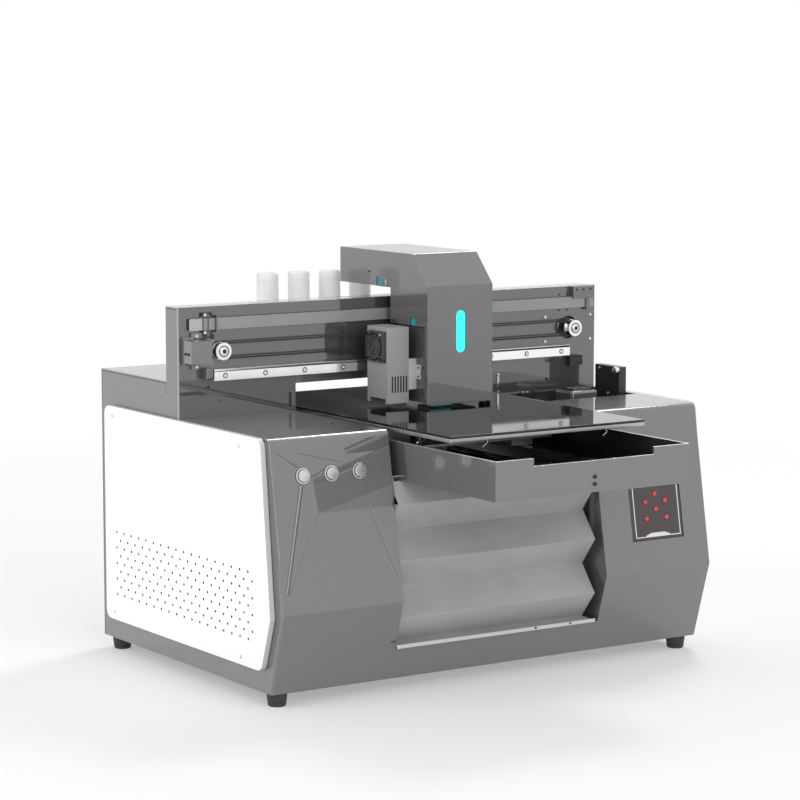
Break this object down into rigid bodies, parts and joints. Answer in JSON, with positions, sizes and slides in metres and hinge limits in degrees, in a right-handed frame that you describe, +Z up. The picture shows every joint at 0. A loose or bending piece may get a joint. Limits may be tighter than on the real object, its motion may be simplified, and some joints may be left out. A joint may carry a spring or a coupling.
{
  "type": "flatbed uv printer",
  "caption": "Desktop flatbed UV printer: portal with a belt-driven print carriage and curing lamp over a glass bed that slides and lifts behind a folding dust cover.",
  "frame": {"origin": "on the floor, under the middle of the outline box", "axes": "+X along the portal to the right seen from the front, +Y to the rear, +Z up; the operator stands at -Y"},
  "size_m": [0.6858, 0.6606, 0.5426],
  "materials": {
    "body_paint": "glossy mid-grey paint",
    "side_white": "glossy white paint",
    "black_rubber": "matt",
    "dark_metal": "satin black",
    "rail_steel": "ground and polished",
    "satin_aluminium": "satin",
    "bed_glass": "black, polished",
    "bellows_fabric": "smooth coated fabric",
    "console_brown": "matt",
    "key_red": "gloss",
    "button_chrome": "polished",
    "bottle_white": "translucent white",
    "fan_black": "matt"
  },
  "bodies": {
    "body": {"base_pan": "body_paint", "foot_front_left": "black_rubber", "foot_front_right": "black_rubber", "foot_rear_left": "black_rubber", "foot_rear_right": "black_rubber", "left_side_plate": "body_paint", "right_side_plate": "body_paint", "left_side_panel": "side_white", "right_side_panel": "side_white", "front_cover": "body_paint", "left_channel_wall": "body_paint", "right_channel_wall": "body_paint", "left_rear_cover": "body_paint", "right_rear_cover": "body_paint", "portal_plate": "body_paint", "portal_cover": "body_paint", "x_rail": "rail_steel", "idler_bracket": "body_paint", "x_motor": "dark_metal", "x_belt": "black_rubber", "service_shelf": "dark_metal", "cap_station": "body_paint", "guide_rod_left": "rail_steel", "guide_rod_right": "rail_steel", "lift_motor": "dark_metal", "bellows": "bellows_fabric", "control_panel": "console_brown", "ink_rack": "satin_aluminium", "ink_bottle_1": "bottle_white", "ink_bottle_2": "bottle_white", "ink_bottle_3": "bottle_white", "ink_bottle_4": "bottle_white"},
    "carriage": {"carriage_plate": "satin_aluminium", "carriage_cover": "body_paint", "print_head": "dark_metal", "lamp_housing": "satin_aluminium", "fan_frame": "fan_black"},
    "fan": {"fan_rotor": "fan_black"},
    "motor_pulley": {"x_motor_pulley": "rail_steel"},
    "idler": {"idler_pulley": "rail_steel"},
    "bed": {"bed_tray": "body_paint", "y_rail_left": "rail_steel", "y_rail_right": "rail_steel", "y_motor": "dark_metal"},
    "y_drive_screw": {"y_screw": "rail_steel"},
    "table": {"y_slide": "satin_aluminium", "bed_frame": "satin_aluminium", "glass_bed": "bed_glass"},
    "left_lift_screw": {"lift_screw_left": "rail_steel"},
    "right_lift_screw": {"lift_screw_right": "rail_steel"},
    "cap": {"cap_pad": "black_rubber"},
    "button_1": {"push_button_1": "button_chrome"},
    "button_2": {"push_button_2": "button_chrome"},
    "button_3": {"push_button_3": "button_chrome"},
    "console_key_1": {"key_1": "key_red"},
    "console_key_2": {"key_2": "key_red"},
    "console_key_3": {"key_3": "key_red"},
    "console_key_4": {"key_4": "key_red"},
    "console_key_5": {"key_5": "key_red"},
    "console_key_6": {"key_6": "key_red"}
  },
  "joints": [
    {"name": "carriage_slide", "type": "slide", "parent": "body", "child": "carriage", "axis": [1, 0, 0], "range_m": [-0.222, 0.218]},
    {"name": "motor_pulley_turn", "type": "hinge", "parent": "body", "child": "motor_pulley", "pos_m": [0.2877, 0.1011, 0.4235], "axis": [0, 1, 0], "range_deg": [-1320, 1320]},
    {"name": "idler_turn", "type": "hinge", "parent": "body", "child": "idler", "pos_m": [-0.2777, 0.1011, 0.4235], "axis": [0, 1, 0], "range_deg": [-1320, 1320]},
    {"name": "fan_spin", "type": "hinge", "parent": "carriage", "child": "fan", "pos_m": [-0.0648, 0.0614, 0.421], "axis": [1, 0, 0], "continuous": true},
    {"name": "bed_lift", "type": "slide", "parent": "body", "child": "bed", "axis": [0, 0, 1], "range_m": [-0.15, 0], "deforming": ["bellows"]},
    {"name": "left_lift_screw_turn", "type": "hinge", "parent": "body", "child": "left_lift_screw", "pos_m": [-0.19, 0.1771, 0.2], "axis": [0, 0, 1], "range_deg": [-10, 5410]},
    {"name": "right_lift_screw_turn", "type": "hinge", "parent": "body", "child": "right_lift_screw", "pos_m": [0.19, 0.1771, 0.2], "axis": [0, 0, 1], "range_deg": [-10, 5410]},
    {"name": "table_slide", "type": "slide", "parent": "bed", "child": "table", "axis": [0, 1, 0], "range_m": [-0.21, 0.195]},
    {"name": "y_screw_turn", "type": "hinge", "parent": "bed", "child": "y_drive_screw", "pos_m": [0, 0, 0.2892], "axis": [0, 1, 0], "range_deg": [-7030, 7570]},
    {"name": "cap_lift", "type": "slide", "parent": "body", "child": "cap", "axis": [0, 0, 1], "range_m": [-0.004, 0], "stiffness_N_per_m": 500, "springref_m": 0.002},
    {"name": "button_1_press", "type": "slide", "parent": "body", "child": "button_1", "axis": [0, 0.9859, -0.1675], "range_m": [0, 0.002], "stiffness_N_per_m": 800, "springref_m": -0.001},
    {"name": "button_2_press", "type": "slide", "parent": "body", "child": "button_2", "axis": [0, 0.9859, -0.1675], "range_m": [0, 0.002], "stiffness_N_per_m": 800, "springref_m": -0.001},
    {"name": "button_3_press", "type": "slide", "parent": "body", "child": "button_3", "axis": [0, 0.9859, -0.1675], "range_m": [0, 0.002], "stiffness_N_per_m": 800, "springref_m": -0.001},
    {"name": "key_1_press", "type": "slide", "parent": "body", "child": "console_key_1", "axis": [0, 0.9859, -0.1675], "range_m": [0, 0.0008], "stiffness_N_per_m": 600, "springref_m": -0.0005},
    {"name": "key_2_press", "type": "slide", "parent": "body", "child": "console_key_2", "axis": [0, 0.9859, -0.1675], "range_m": [0, 0.0008], "stiffness_N_per_m": 600, "springref_m": -0.0005},
    {"name": "key_3_press", "type": "slide", "parent": "body", "child": "console_key_3", "axis": [0, 0.9859, -0.1675], "range_m": [0, 0.0008], "stiffness_N_per_m": 600, "springref_m": -0.0005},
    {"name": "key_4_press", "type": "slide", "parent": "body", "child": "console_key_4", "axis": [0, 0.9859, -0.1675], "range_m": [0, 0.0008], "stiffness_N_per_m": 600, "springref_m": -0.0005},
    {"name": "key_5_press", "type": "slide", "parent": "body", "child": "console_key_5", "axis": [0, 0.9859, -0.1675], "range_m": [0, 0.0008], "stiffness_N_per_m": 600, "springref_m": -0.0005},
    {"name": "key_6_press", "type": "slide", "parent": "body", "child": "console_key_6", "axis": [0, 0.9859, -0.1675], "range_m": [0, 0.0008], "stiffness_N_per_m": 600, "springref_m": -0.0005}
  ],
  "couplings": [
    {"joint": "motor_pulley_turn", "follows": "carriage_slide", "rad_per_m": -102.04},
    {"joint": "idler_turn", "follows": "carriage_slide", "rad_per_m": -102.04},
    {"joint": "left_lift_screw_turn", "follows": "bed_lift", "rad_per_m": -628.32},
    {"joint": "right_lift_screw_turn", "follows": "bed_lift", "rad_per_m": -628.32},
    {"joint": "y_screw_turn", "follows": "table_slide", "rad_per_m": -628.32}
  ]
}
